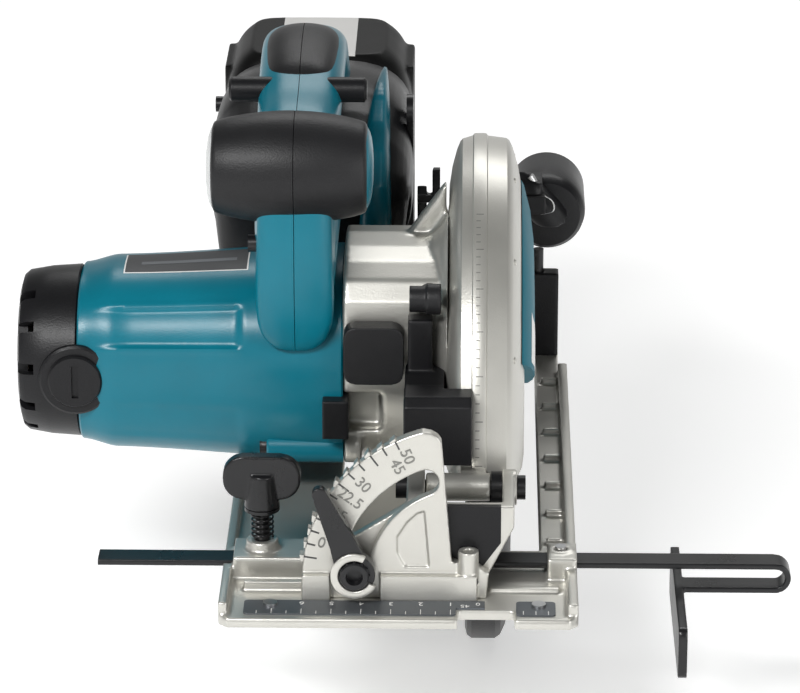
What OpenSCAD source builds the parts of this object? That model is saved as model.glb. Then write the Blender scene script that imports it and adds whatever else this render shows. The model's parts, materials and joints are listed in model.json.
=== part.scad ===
// Cordless circular saw, 165 mm blade, millimetres.
// Origin: on the sole plane, below the arbor's axis, in the mid-plane of the handle.
// +X points from the motor to the blade, +Y to the rear of the saw, +Z up.

/* [Blade and gears] */
// Blade diameter
blade_d = 165; // [160:1:166]
// Blade thickness
blade_t = 1.8; // [1.4:0.1:2.2]
// Height of the arbor above the sole at full depth of cut
arbor_z = 25.5; // [25.5:0.1:26]
// Blade plane, from the handle's mid-plane
blade_x = 66; // [65.8:0.1:66.2]
// Teeth of the spindle gear
gear_teeth = 42; // [42:1:42]
// Teeth of the motor pinion
pinion_teeth = 17; // [17:1:17]

/* [Base] */
// Width of the base plate
base_w = 120.5; // [118:0.5:121]
// Length of the base plate
base_l = 259; // [257:1:262]
// Thickness of the base plate
base_t = 3.5; // [3:0.1:4]
// Height of the bevel axis above the sole
bevel_z = 9.8; // [9.5:0.1:10]
// Radius of the bevel quadrant
quadrant_r = 56; // [55:0.5:57]

/* [Body] */
// Outer radius of the upper guard
guard_r = 94; // [93.5:0.1:94]
// Motor housing radius at the gear end
motor_r = 38.5; // [37:0.5:39]
// Width of the battery
battery_w = 75; // [70:1:76]
// Height of the battery
battery_h = 112; // [105:1:114]
// Length of the rip fence bar
fence_l = 236.6; // [220:0.1:240]

/* [Hidden] */
$fn = 64;
e = 0.1;

base_x0 = -22.5;
base_x1 = base_x0 + base_w;
base_y0 = -156;
base_y1 = base_y0 + base_l;
bevel_x = 61.1;
slot_r = 38.5;
clamp_a = 172;
clamp_x = bevel_x + slot_r * cos(clamp_a);
clamp_z = bevel_z + slot_r * sin(clamp_a);
pivot_y = -101;
pivot_z = 29;
guide_r = 187;
guide_a = -2;
lock_y = pivot_y + guide_r * cos(guide_a);
lock_z = pivot_z + guide_r * sin(guide_a);
motor_y = -19.2;
tube_y = -47.5;
tube_z = 22.2;
tube_r = 5.6;
motor_z = arbor_z + sqrt(pow((gear_teeth + pinion_teeth) / 2, 2) - pow(motor_y, 2));
mesh_a = atan2(motor_z - arbor_z, motor_y);
fence_y = -114;
fence_z = 7.5;
wing_x = -9.3;
tail_x = -99.5;
joint_x = -77.5;
case_x0 = 16.5;
case_x1 = 52.5;
guard_x1 = 80.5;
lower_x0 = 59.8;
lower_x1 = 75.8;
lower_r = 90;
battery_x = 1.5;
battery_y0 = 125.3;
battery_z0 = 2;
knob_y = -46;
knob_z = 126;
lock_off_y = 0;
lock_off_z = 140;
nozzle_x = 90;
nozzle_z = 64.5;

teal = [0.0, 0.44, 0.53];
black = [0.12, 0.12, 0.13];
silver = [0.80, 0.79, 0.76];
steel = [0.62, 0.62, 0.62];

// Draws a (Y, Z) outline at x and extrudes it along +X.
module on_x(x) { translate([x, 0, 0]) rotate([90, 0, 90]) children(); }

// Draws an (X, Z) outline at y and extrudes it along +Y.
module on_y(y) { translate([0, y, 0]) rotate([90, 0, 0]) mirror([0, 0, 1]) children(); }

module rod_x(x0, x1, y, z, r) { on_x(x0) translate([y, z]) cylinder(r = r, h = x1 - x0); }
module rod_y(y0, y1, x, z, r) { on_y(y0) translate([x, z]) cylinder(r = r, h = y1 - y0); }
module rod_z(z0, z1, x, y, r) { translate([x, y, z0]) cylinder(r = r, h = z1 - z0); }
module ring_x(x0, x1, y, z, ro, ri) {
  difference() {
    rod_x(x0, x1, y, z, ro);
    rod_x(x0 - e, x1 + e, y, z, ri);
  }
}
module box(x0, x1, y0, y1, z0, z1) { translate([x0, y0, z0]) cube([x1 - x0, y1 - y0, z1 - z0]); }

// A pie slice from angle a0 to a1.
module pie(r, a0, a1) {
  polygon(concat([[0, 0]], [for (i = [0:6]) let (a = a0 + (a1 - a0) * i / 6) [r * cos(a), r * sin(a)]]));
}

// A curved slot with round ends.
module arc_slot(r, w, a0, a1) {
  intersection() {
    difference() {
      circle(r + w / 2);
      circle(r - w / 2);
    }
    pie(2 * (r + w), a0, a1);
  }
  for (a = [a0, a1]) translate([r * cos(a), r * sin(a)]) circle(w / 2);
}

// A rounded rectangle of exact arcs.
module round_rect(x0, x1, y0, y1, r) {
  translate([x0 + r, y0]) square([x1 - x0 - 2 * r, y1 - y0]);
  translate([x0, y0 + r]) square([x1 - x0, y1 - y0 - 2 * r]);
  for (x = [x0 + r, x1 - r], y = [y0 + r, y1 - r]) translate([x, y]) circle(r);
}

// A spur gear outline of module 1, with a tooth centred on angle a.
module gear_outline(teeth, a) {
  pitch = 360 / teeth;
  tip_r = teeth / 2 + 0.9;
  root_r = teeth / 2 - 1.2;
  function tooth_pt(r, da) = [r * cos(da), r * sin(da)];
  polygon([for (i = [0:teeth - 1]) let (c = a + i * pitch) each [
    tooth_pt(root_r, c - 0.34 * pitch), tooth_pt(teeth / 2, c - 0.22 * pitch),
    tooth_pt(tip_r, c - 0.10 * pitch), tooth_pt(tip_r, c + 0.10 * pitch),
    tooth_pt(teeth / 2, c + 0.22 * pitch), tooth_pt(root_r, c + 0.34 * pitch)
  ]]);
}

// ---------- base ----------
module base_outline() {
  polygon([
    [base_x0 + 3, base_y0], [base_x1 - 3, base_y0], [base_x1, base_y0 + 3], [base_x1, 76],
    [base_x1 - 3, 80], [base_x1 - 3, base_y1], [base_x0 + 6, base_y1], [base_x0, base_y1 - 6],
    [base_x0, base_y0 + 3]
  ]);
}

module base_plate() {
  color(silver) difference() {
    union() {
      linear_extrude(base_t) base_outline();
      box(base_x0, base_x0 + 3, base_y0 + 3, base_y1 - 6, 0, 8);
      box(base_x0 + 3, 36, base_y1 - 3, base_y1, 0, 8);
      box(base_x1 - 3.5, base_x1, base_y0 + 3, 76, 0, 8);
      for (i = [0:6]) box(88, base_x1, -92 + i * 26, -90 + i * 26, 0, 6);
      box(-15, 5, -133, -130, 0, 7);
      box(68, 92, -133, -130, 0, 5);
      box(-19, 6, fence_y - 9, fence_y + 9, 0, 11.5);
      rod_z(0, 15, wing_x, fence_y, 5.5);
      box(88, base_x1, fence_y - 9, fence_y + 6.2, 0, 11.5);
      rod_z(0, 12, 92.5, fence_y, 4);
      on_y(99) linear_extrude(4) {
        translate([bevel_x, bevel_z]) circle(7);
        translate([bevel_x - 7, 0]) square([14, bevel_z]);
      }
    }
    box(43.5, 85.5, -96, 98.8, -e, 12);
    box(15.8, 44, -27.5, 27.5, -e, 12);
    box(57.5, 76.5, base_y0 - e, -148, -e, 12);
    box(-40, 120, fence_y - 4.9, fence_y + 4.9, fence_z - 1.2, fence_z + 1.2);
    rod_z(fence_z, 16, wing_x, fence_y, 2.55);
    rod_z(fence_z, 14, 92.5, fence_y, 2.1);
    rod_y(98, 104, bevel_x, bevel_z, 3);
  }
}

module ruler_plate() {
  color(steel) difference() {
    translate([0, 0, base_t]) linear_extrude(0.6) {
      round_rect(-14.2, 57, -152.6, -141.4, 1.5);
      translate([55, -147.2]) square([11.7, 5.8]);
      round_rect(77.2, 90.4, -152.6, -141.4, 1.5);
    }
    for (i = [0:13]) box(54.9 - i * 5, 55.5 - i * 5, -152.8, i % 2 == 0 ? -148.6 : -150.4, 3.9, 5);
  }
}

module base_rivets() {
  color(steel) for (x = [-5.4, 84.8]) rod_z(base_t + 0.6, base_t + 1.6, x, -145.2, 2.4);
  color(steel) rod_z(fence_z + 1.2, 12.9, 92.5, fence_y, 2);
}

module bevel_pivot_pins() {
  color(black) {
    rod_y(-139.2, -128.4, bevel_x, bevel_z, 3);
    rod_y(93.8, 103.6, bevel_x, bevel_z, 3);
  }
}

module bevel_quadrant() {
  color(silver) difference() {
    union() {
      on_y(-138) linear_extrude(4.5) translate([bevel_x, bevel_z]) {
        intersection() {
          circle(quadrant_r, $fn = 128);
          polygon([[6, -6.3], [-60, -6.3], [-60, 60], [-15.6, 53.9], [-12.6, 53.3], [-10.4, 52], [-9.2, 50.2], [-5.6, 7], [7, 3]]);
        }
        circle(6.2);
      }
      box(5, 14.5, -141, -137.9, base_t, 12.6);
      box(31.5, 64, -141, -137.9, base_t, 12.6);
      rod_z(10, 20.8, bevel_x, -137.1, 3.5);
    }
    on_y(-139) linear_extrude(6) translate([bevel_x, bevel_z]) arc_slot(slot_r, 9, 112, 174.5);
    on_y(-139) linear_extrude(2) translate([bevel_x, bevel_z]) polygon([
      [-21.6, 5.1], [-24.1, 10], [-24.1, 16], [-20.7, 21.5], [-17.3, 24.7], [-14.7, 25.6], [-13, 5.1]
    ]);
    rod_z(18, 21, bevel_x, -137.1, 1.8);
    for (a = [116:5:166]) {
      translate([bevel_x, 0, bevel_z]) rotate([0, -a, 0]) translate([50.5, -139, -0.3]) cube([6, 1.6, 0.6]);
    }
    rod_y(-140, -132, bevel_x, bevel_z, 3);
  }
}

// ---------- bevel assembly ----------
module tilt_bracket() {
  color(silver) difference() {
    union() {
      on_y(-133.2) linear_extrude(4.7) {
        translate([bevel_x, bevel_z]) circle(6.1);
        translate([clamp_x, clamp_z]) circle(9);
        polygon([
          [bevel_x - 4, bevel_z - 5.2], [bevel_x + 6.6, bevel_z], [76.5, 27.5], [76.5, 35], [40, 35],
          [clamp_x, clamp_z + 9], [clamp_x, clamp_z - 8]
        ]);
      }
      box(40, 46, -130, pivot_y, 12, 35);
      box(72.5, 76.5, -130, pivot_y, 27.5, 35);
      rod_x(40, 46, pivot_y, pivot_z, 6.2);
      rod_x(72.5, 77.5, pivot_y, pivot_z, 6.2);
    }
    rod_y(-134, -128, bevel_x, bevel_z, 3.05);
    rod_y(-134, -128, clamp_x, clamp_z, 3);
    rod_x(39, 47, pivot_y, pivot_z, 2.5);
    rod_x(72, 78, pivot_y, pivot_z, 2.5);
  }
}

module rear_bracket() {
  color(silver) difference() {
    union() {
      on_y(94.2) linear_extrude(4.3) {
        translate([bevel_x, bevel_z]) circle(6.4);
        polygon([
          [bevel_x, bevel_z - 4.8], [bevel_x, bevel_z + 6.4], [39.4, 22], [39.4, 5], [45, 5]
        ]);
      }
    }
    rod_y(93, 99, bevel_x, bevel_z, 3.05);
  }
}

module depth_guide() {
  color(steel) difference() {
    union() {
      on_x(36.9) linear_extrude(2.5) translate([pivot_y, pivot_z]) arc_slot(guide_r, 13, guide_a - 2, 26);
      box(36.9, 39.4, 86, 98.5, 7, 22);
    }
    on_x(36) linear_extrude(5) translate([pivot_y, pivot_z]) arc_slot(guide_r, 6.4, guide_a, 25);
  }
}

module bevel_bolt() {
  color(steel) {
    rod_y(-146.5, -128.5, clamp_x, clamp_z, 2.95);
    rod_y(-128.5, -125, clamp_x, clamp_z, 5.5);
  }
}

module bevel_washer() {
  color(silver) difference() {
    rod_y(-140.2, -138.3, clamp_x, clamp_z, 8);
    rod_y(-141, -137, clamp_x, clamp_z, 3.05);
  }
}

module depth_pivot_pin() {
  color(black) {
    rod_x(38, 78, pivot_y, pivot_z, 2.5);
    rod_x(77.5, 80.5, pivot_y, pivot_z, 4.2);
    rod_x(36, 40, pivot_y, pivot_z, 4);
    rod_x(68.7, 72.4, pivot_y, pivot_z, 5.6);
  }
}

module bevel_lever() {
  lever_a = 112;
  color(black) difference() {
    union() {
      rod_y(-146, -140.4, clamp_x, clamp_z, 7);
      on_y(-146) linear_extrude(4) translate([clamp_x, clamp_z]) rotate([0, 0, lever_a]) {
        polygon([[0, -6], [12, -5], [31, -2.5], [31, 2.5], [12, 4], [0, 6]]);
        translate([31, 0]) circle(2.5);
      }
    }
    rod_y(-147, -140, clamp_x, clamp_z, 3.05);
  }
}

// ---------- gear case and guards ----------
module case_outline() {
  translate([0, arbor_z]) circle(24);
  translate([motor_y, motor_z]) circle(motor_r - 2);
  polygon([
    [-55, 58], [-55, 79], [-50, 86], [-40, 89.5], [-28, 91], [-12, 91], [2, 88.5], [14, 83.5], [24, 76],
    [30, 68], [30, 40], [20, 12], [-20, 12]
  ]);
}

module case_cavity() {
  translate([0, arbor_z]) circle(22.6);
  translate([motor_y, motor_z]) circle(11);
  polygon([
    [0, arbor_z - 10], [motor_y - 9, motor_z], [-49, 62], [-49, 77], [-40, 84], [-28, 86.5], [-12, 86.5],
    [0, 84], [10, 79.5], [22, 70], [22.6, arbor_z]
  ]);
}

module gear_case() {
  color(silver) difference() {
    union() {
      on_x(case_x0) linear_extrude(29) case_outline();
      on_x(45.4) linear_extrude(case_x1 - 45.4) intersection() {
        case_outline();
        union() {
          translate([0, arbor_z]) circle(56);
          translate([-70, 0]) square([62, 100]);
        }
      }
      rod_x(case_x1, 60.8, 0, arbor_z, 14);
      rod_x(case_x0, 23, tube_y, tube_z, tube_r);
      on_y(-15) linear_extrude(6) polygon([[38, 84], [38, 90], [52.4, 110], [52.4, 80]]);
      on_x(31.5) linear_extrude(4.9) polygon([
        [20, 20], [20, 46], [60, 42], [lock_y + 6, lock_z + 7], [lock_y + 7, lock_z - 6], [60, 14]
      ]);
    }
    on_x(24) linear_extrude(20) case_cavity();
    rod_x(17.5, 25, motor_y, motor_z, 11);
    rod_x(16, 18, motor_y, motor_z, 7);
    rod_x(18.5, 25, 0, arbor_z, 9.5);
    rod_x(43, 50, 0, arbor_z, 9.5);
    rod_x(49, 62, 0, arbor_z, 6.3);
    rod_x(31, 37, lock_y, lock_z, 3);
    screw_rods(0.1);
    rod_x(14, 17.5, motor_y, motor_z, 12);
    box(8, 30, -59, -44, 29.6, 45.6);
  }
}

module upper_guard() {
  color(silver) difference() {
    union() {
      on_x(case_x1) linear_extrude(guard_x1 - case_x1) intersection() {
        translate([0, arbor_z]) circle(guard_r, $fn = 128);
        translate([-100, arbor_z - 0.5]) square([200, 120]);
      }
      rod_x(46.3, 68.4, pivot_y, pivot_z, 5);
      box(54, 68, pivot_y, -88, 25.2, 33.5);
    }
    on_x(54.5) linear_extrude(24) translate([0, arbor_z]) circle(guard_r - 2, $fn = 128);
    box(54.5, 78.5, -93, 93, 20, 26);
    rod_x(46, 69, pivot_y, pivot_z, 2.55);
    on_x(52) linear_extrude(3) translate([0, arbor_z]) arc_slot(69, 12, -20, 94);
    rod_x(50, 56, 0, arbor_z, 14);
    rod_x(77, 82, 0, arbor_z, 22);
    box(75, 79, 70, 90, 62, 76);
  }
}

module guard_cover() {
  color(teal) on_x(guard_x1) difference() {
    union() {
      translate([0, 66]) cylinder(r = 29, h = 1.6);
      translate([0, 66, 1.6]) cylinder(r1 = 28, r2 = 20, h = 2.2, $fn = 96);
    }
    translate([0, arbor_z, -1]) cylinder(r = 22, h = 8);
  }
}

module lower_guard() {
  color(black) difference() {
    on_x(lower_x0) linear_extrude(lower_x1 - lower_x0) union() {
      intersection() {
        translate([0, arbor_z]) circle(lower_r, $fn = 128);
        translate([0, arbor_z]) rotate([0, 0, 180]) pie(140, 4, 176);
      }
      translate([0, arbor_z]) circle(24);
    }
    on_x(lower_x0 + 1.6) linear_extrude(lower_x1 - lower_x0 - 3.2) translate([0, arbor_z]) circle(lower_r - 1.8, $fn = 128);
    rod_x(lower_x0 - 1, lower_x0 + 3, 0, arbor_z, 14.06);
    rod_x(lower_x1 - 3, lower_x1 + 1, 0, arbor_z, 20);
  }
}

module guard_lever() {
  color(black) translate([0, 0, arbor_z]) rotate([-14, 0, 0]) {
    on_x(46.2) linear_extrude(4.6) union() {
      translate([69, 0]) circle(6);
      translate([64, 0]) round_rect(0, 14, -4, 4, 2);
    }
    on_x(50.5) linear_extrude(9.3) translate([69, 0]) circle(4.6);
  }
}

module guard_spring() {
  color(steel) for (i = [0:5]) ring_x(56.2 + 0.5 * i, 56.7 + 0.5 * i, 0, arbor_z, 17.2, 15.8);
}

module chip_cover() {
  color(black) difference() {
    union() {
      on_x(38.5) linear_extrude(13.7) polygon([[-90, 42], [-90, 52], [-84, 57], [-56, 57], [-56, 42]]);
      on_x(39.5) linear_extrude(8.5) polygon([[-64, 57], [-64, 76], [-56, 76], [-56, 57]]);
      box(38.5, 41.5, -90, -84, 38, 44);
      on_x(38.5) linear_extrude(23.5) polygon([[-99, 36], [-99, 57], [-96, 60], [-84, 60], [-84, 36]]);
    }
    rod_x(52.2, 70, 0, arbor_z, guard_r + 0.1);
    on_x(37) linear_extrude(11) polygon([[-86, 40], [-86, 50], [-82, 54], [-60, 54], [-60, 40]]);
  }
}

module rubber_stop() {
  color(black) {
    rod_x(40, 46, -61, 83, 4.6);
    rod_x(46, 51, -61, 83, 5.4);
    rod_y(-61, -55, 47, 83, 4);
  }
}

module lamp_housing() {
  color(black) difference() {
    on_y(-64) linear_extrude(8) round_rect(17, 38, 52, 73, 4);
    rod_z(50, 54, 27.5, -60, 3);
  }
}

module lamp_lens() {
  color([0.9, 0.9, 0.85]) rod_z(52.2, 54, 27.5, -60, 2.9);
}

module dust_nozzle() {
  color(black) difference() {
    union() {
      rod_y(84, 118, nozzle_x, nozzle_z, 14.5);
      box(76, 92, 74, 96, 60, 78);
    }
    rod_y(95, 119, nozzle_x, nozzle_z, 12);
    rod_y(88, 95, nozzle_x, nozzle_z, 12.9);
    rod_x(70, guard_x1, 0, arbor_z, guard_r + 0.1);
    box(guard_x1 - 1, 95, 60, 84, 50, 62);
  }
}

// ---------- blade drive ----------
module spindle() {
  color(steel) difference() {
    union() {
      rod_x(20, 61, 0, arbor_z, 6);
      rod_x(61, 68.5, 0, arbor_z, 9.95);
    }
    rod_x(50, 69, 0, arbor_z, 4);
  }
}

module spur_gear() {
  color(steel) difference() {
    on_x(25.5) linear_extrude(9) translate([0, arbor_z]) gear_outline(gear_teeth, mesh_a);
    rod_x(25, 35, 0, arbor_z, 6);
    for (i = [0:5]) rod_x(25, 35, 13.5 * cos(60 * i), arbor_z + 13.5 * sin(60 * i), 3.2);
  }
}

module blade_flanges() {
  color(steel) {
    ring_x(61.7, blade_x - blade_t / 2, 0, arbor_z, 17, 9.95);
    ring_x(blade_x + blade_t / 2, 70, 0, arbor_z, 17, 9.95);
  }
}

module blade_bolt() {
  color(black) {
    rod_x(52, 70, 0, arbor_z, 3.95);
    difference() {
      rod_x(70, 75, 0, arbor_z, 8);
      on_x(72) translate([0, arbor_z]) cylinder(r = 3.4, h = 4, $fn = 6);
    }
  }
}

module blade() {
  blade_r = blade_d / 2;
  teeth = 24;
  color(steel) difference() {
    on_x(blade_x - blade_t / 2) linear_extrude(blade_t) translate([0, arbor_z]) polygon([
      for (i = [0:teeth - 1]) let (a = i * 360 / teeth) each [
        [(blade_r - 7) * cos(a), (blade_r - 7) * sin(a)], [blade_r * cos(a + 1.5), blade_r * sin(a + 1.5)],
        [(blade_r - 1) * cos(a + 5), (blade_r - 1) * sin(a + 5)],
        [(blade_r - 3) * cos(a + 11), (blade_r - 3) * sin(a + 11)]
      ]
    ]);
    rod_x(60, 70, 0, arbor_z, 9.97);
  }
}

// ---------- motor ----------
module on_motor() { translate([0, motor_y, motor_z]) rotate([0, 90, 0]) children(); }

module motor_housing() {
  color(teal) difference() {
    union() {
      on_motor() rotate_extrude($fn = 96) polygon([
        [31, joint_x], [34, -40], [motor_r - 1, 0], [motor_r, case_x0], [motor_r - 3, case_x0],
        [31, -30], [28.4, -32], [28.4, joint_x]
      ]);
      rod_x(-10.7, case_x0, tube_y, tube_z, tube_r);
    }
    rod_y(motor_y - 40, motor_y + 40, joint_x, motor_z, 10.1);
    box(8, 17, -59.5, -40, 29.6, 45.6);
    screw_rods(0.1);
  }
}

module tail_cover() {
  color(black) difference() {
    on_motor() rotate_extrude($fn = 96) polygon([
      [0, tail_x], [26, tail_x], [29, tail_x + 3], [31, joint_x], [28.4, joint_x], [26.5, tail_x + 4],
      [10, tail_x + 4], [10, tail_x + 12], [7.6, tail_x + 12], [7.6, tail_x + 4], [0, tail_x + 4]
    ]);
    rod_y(motor_y - 40, motor_y + 40, joint_x, motor_z, 10.1);
    for (a = [20, 50, 130, 160, 200, 230, 310, 340]) {
      translate([tail_x + 3, motor_y, motor_z]) rotate([a, 0, 0]) translate([0, 24, -2]) cube([10, 10, 4]);
    }
  }
}

module brush_caps() {
  color(black) for (s = [-1, 1]) difference() {
    rod_y(s < 0 ? motor_y - 33.5 : motor_y + 28.6, s < 0 ? motor_y - 28.6 : motor_y + 33.5, joint_x, motor_z, 10);
    box(joint_x - 1, joint_x + 1, s < 0 ? motor_y - 34 : motor_y + 32, s < 0 ? motor_y - 32 : motor_y + 34, motor_z - 7, motor_z + 7);
  }
}

module carbon_brushes() {
  color([0.2, 0.2, 0.2]) for (s = [-1, 1]) {
    y0 = s < 0 ? motor_y - 28.4 : motor_y + 10.2;
    box(joint_x - 2.5, joint_x + 2.5, y0, y0 + 18.2, motor_z - 4, motor_z + 4);
  }
}

module stator() { color(steel) ring_x(-56, -6, motor_y, motor_z, 28.2, 24.6); }

module armature_core() {
  color([0.55, 0.35, 0.2]) difference() {
    rod_x(-52, -10, motor_y, motor_z, 23.8);
    for (i = [0:11]) rod_x(-53, -9, motor_y + 21 * cos(30 * i), motor_z + 21 * sin(30 * i), 1.5);
    rod_x(-53, -9, motor_y, motor_z, 4);
  }
}

module commutator() { color([0.72, 0.45, 0.2]) ring_x(-86, -64, motor_y, motor_z, 10, 4); }

module armature_shaft() {
  color(steel) {
    rod_x(-94, 25.5, motor_y, motor_z, 4);
    on_x(25) linear_extrude(10) translate([motor_y, motor_z]) gear_outline(pinion_teeth, mesh_a + 180 + 180 / pinion_teeth);
  }
}

module fan() {
  color(black) {
    ring_x(2, 4.5, motor_y, motor_z, 30, 4);
    for (i = [0:10]) translate([0, motor_y, motor_z]) rotate([i * 360 / 11, 0, 0]) box(4.4, 8.8, 11, 29, -0.8, 0.8);
  }
}

module ball_bearings() {
  color(steel) {
    ring_x(-95, -90, motor_y, motor_z, 7.6, 4.05);
    ring_x(17.7, 23.5, motor_y, motor_z, 10.98, 4.05);
    ring_x(19, 24.5, 0, arbor_z, 9.48, 6.05);
    ring_x(44, 49.5, 0, arbor_z, 9.48, 6.05);
  }
}

// ---------- handle ----------
function handle_points() = [
  [-62, 72], [-62, 118], [-60, 133], [-52, 141], [-30, 141], [5, 145], [40, 150.5], [62, 149],
  [84, 137], [100, 122], [125, 112], [125, 50], [66, 50], [34, 92], [-44, 92], [-50, 72]
];
function gap_points() = [
  [-26, 101], [-30, 114], [-18, 121], [5, 125], [40, 131], [58, 129], [68, 120], [62, 106], [40, 99]
];

module handle_half(x0, x1, x_low, x_high) {
  color(teal) difference() {
    union() {
      on_x(x0) linear_extrude(x1 - x0) difference() {
        polygon(handle_points());
        polygon(gap_points());
      }
      on_x(x_low) linear_extrude(x_high - x_low) polygon([
        [52, 54], [50, 80], [56, 104], [70, 116], [92, 122], [125, 114], [125, 50], [64, 50]
      ]);
    }
    box(-33, 33, 76, 122, 54, 108);
    box(-12, 12, -14, 30, 121, 137);
    box(-9.1, 9.1, 5.9, 30.1, 121, 141.1);
    on_x(36.2) linear_extrude(5) translate([pivot_y, pivot_z]) difference() {
      circle(197, $fn = 128);
      circle(178, $fn = 128);
    }
    rod_x(-40, 40, lock_off_y, lock_off_z, 3.3);
    rod_x(-14.2, 14.2, -13.5, 126, 2.05);
    box(-20.1, 20.1, 120, 126, 63.9, 108.1);
    screw_rods(0.1);
    box(-9, 9, -19, -13, 108, 137);
  }
}

module handle_left() { handle_half(-16, 0, -36.5, 0); }
module handle_right() { handle_half(0, 15.5, 0, 39.8); }

module front_grip() {
  color(black) difference() {
    union() {
      rod_x(-31, 27.4, knob_y, knob_z, 19.8);
    }
    on_x(-16.1) linear_extrude(31.7) polygon(handle_points());
  }
}

module grip_inserts() {
  color(silver) rod_x(-32.4, -31, knob_y, knob_z, 12);
  color(teal) rod_x(27.4, 28.8, knob_y, knob_z, 12);
}

module handle_pad() {
  color(black) on_x(-12) linear_extrude(24) polygon([[6, 145.3], [40, 150.6], [60, 149.3], [60, 151], [38, 152.6], [6, 147.3]]);
}

module switch() {
  color(black) box(-9, 9, 6, 30, 134.2, 141);
}

module control_board() {
  color([0.1, 0.35, 0.15]) box(-24, 24, 80, 84, 58, 104);
}

module battery_terminals() {
  color(black) box(-20, 20, 121, 125.2, 64, 108);
}

// Clamshell screws and motor screws; grow widens them into their holes.
module screw_rods(grow) {
  for (p = [[-52, 100], [92, 66], [110, 100], [112, 60]]) {
    face_x = p[0] > 60 ? -36.5 : -16;
    rod_x(face_x - 0.3, face_x + 4, p[0], p[1], 3 + grow);
  }
  rod_x(-1, case_x0 + 6, motor_y + 17, motor_z + 29.4, 2 + grow);
  rod_x(-11, case_x0 + 6, tube_y, tube_z, 2 + grow);
  rod_x(-13.2, -10.7, tube_y, tube_z, 4 + grow);
}

module housing_screws() { color(black) screw_rods(0); }

module trigger() {
  color(black) {
    on_x(-6.5) linear_extrude(13) polygon([
      [-16, 118], [-16, 127], [1, 127.8], [24, 128], [22, 121], [12, 116], [0, 117], [-8, 113]
    ]);
    rod_x(-14, 14, -13.5, 126, 2);
  }
}

module lock_off() {
  color(black) {
    rod_x(-25.2, 23.9, lock_off_y, lock_off_z, 3);
    rod_x(-25.2, -19.5, lock_off_y, lock_off_z, 4.6);
    rod_x(19, 23.9, lock_off_y, lock_off_z, 4.6);
  }
}

module shaft_lock() {
  color(black) {
    box(9.4, 18.6, -62, -48, 30.6, 44.8);
    rod_y(-48, -44.5, 12.4, 36, 2.5);
  }
}

// ---------- battery ----------
module battery_case() {
  half_w = battery_w / 2;
  color(black) difference() {
    union() {
      translate([0, 0, battery_z0]) linear_extrude(battery_h - 6) {
        round_rect(battery_x - half_w, battery_x + half_w, battery_y0, 189, 8);
      }
      translate([0, 0, battery_z0 + battery_h - 7]) linear_extrude(7) {
        round_rect(battery_x - half_w + 6, battery_x + half_w - 6, battery_y0 + 1, 188, 8);
      }
    }
    box(-22, 25, 110, battery_y0 + 5, -10, 200);
    box(-13, 16, 180, 200, 90, 106);
  }
}

module battery_button() { color([0.7, 0.1, 0.1]) box(-12.5, 15.5, 184, 188.6, 90.5, 105.5); }

// ---------- fence ----------
module fence_arm(x0, x1, z) { box(x0, x1, fence_y - 4.75, fence_y + 4.75, z - 1, z + 1); }

module rip_fence() {
  bar_x1 = -65.5 + fence_l;
  bend_z = fence_z - 4.4;
  color(black) {
    fence_arm(-65.5, bar_x1 - 5.4, fence_z);
    fence_arm(134, bar_x1 - 5.4, fence_z - 8.8);
    translate([bar_x1 - 5.4, 0, bend_z]) intersection() {
      difference() {
        rod_y(fence_y - 4.75, fence_y + 4.75, 0, 0, 5.4);
        rod_y(fence_y - 5, fence_y + 5, 0, 0, 3.4);
      }
      box(0, 10, fence_y - 6, fence_y + 6, -6, 6);
    }
    on_x(131.5) linear_extrude(3) round_rect(-155, -81, -18.5, -0.2, 3);
  }
}

module wing_screw() {
  color(black) {
    rod_z(9, 29, wing_x, fence_y, 2.5);
    translate([wing_x, fence_y, 26.9]) cylinder(r1 = 6.1, r2 = 4.6, h = 12);
    on_y(fence_y - 2.4) linear_extrude(4.8) round_rect(wing_x - 13.2, wing_x + 13.2, 30, 45.5, 7);
  }
}

module wing_washer() {
  color(steel) difference() {
    rod_z(25.7, 26.8, wing_x, fence_y, 6);
    rod_z(25, 27, wing_x, fence_y, 2.55);
  }
}

module wing_spring() {
  turns = 5;
  wire_r = 0.6;
  color(steel) for (i = [0:turns * 2 - 1]) {
    translate([wing_x, fence_y, 15.7 + i * 1.04]) rotate_extrude() translate([3.5, 0]) circle(wire_r, $fn = 16);
  }
}

// ---------- depth clamp ----------
module depth_bolt() {
  color(steel) {
    rod_x(29, 47.5, lock_y, lock_z, 2.95);
    rod_x(27, 31.5, lock_y, lock_z, 5.5);
  }
}

module depth_lever() {
  color(black) difference() {
    union() {
      rod_x(40, 46, lock_y, lock_z, 7);
      on_x(41) linear_extrude(3.5) polygon([
        [lock_y - 6, lock_z], [58.4, 81], [61.6, 84], [lock_y + 6, lock_z + 2]
      ]);
      box(41, 49.5, 58.5, 61.5, 78, 81);
      box(46.6, 49.5, 58.5, 61.5, 78, 91);
    }
    rod_x(39, 49, lock_y, lock_z, 3.05);
  }
}

module wrench_holder() {
  color(black) difference() {
    box(83, 94.8, 95.2, 102.8, base_t, 37);
    rod_z(12, 38, 87, 99, 2.1);
  }
}

module hex_wrench() {
  color(black) {
    rod_z(12.2, 46, 87, 99, 2);
    rod_x(80, 87, 99, 44, 2);
  }
}

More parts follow.
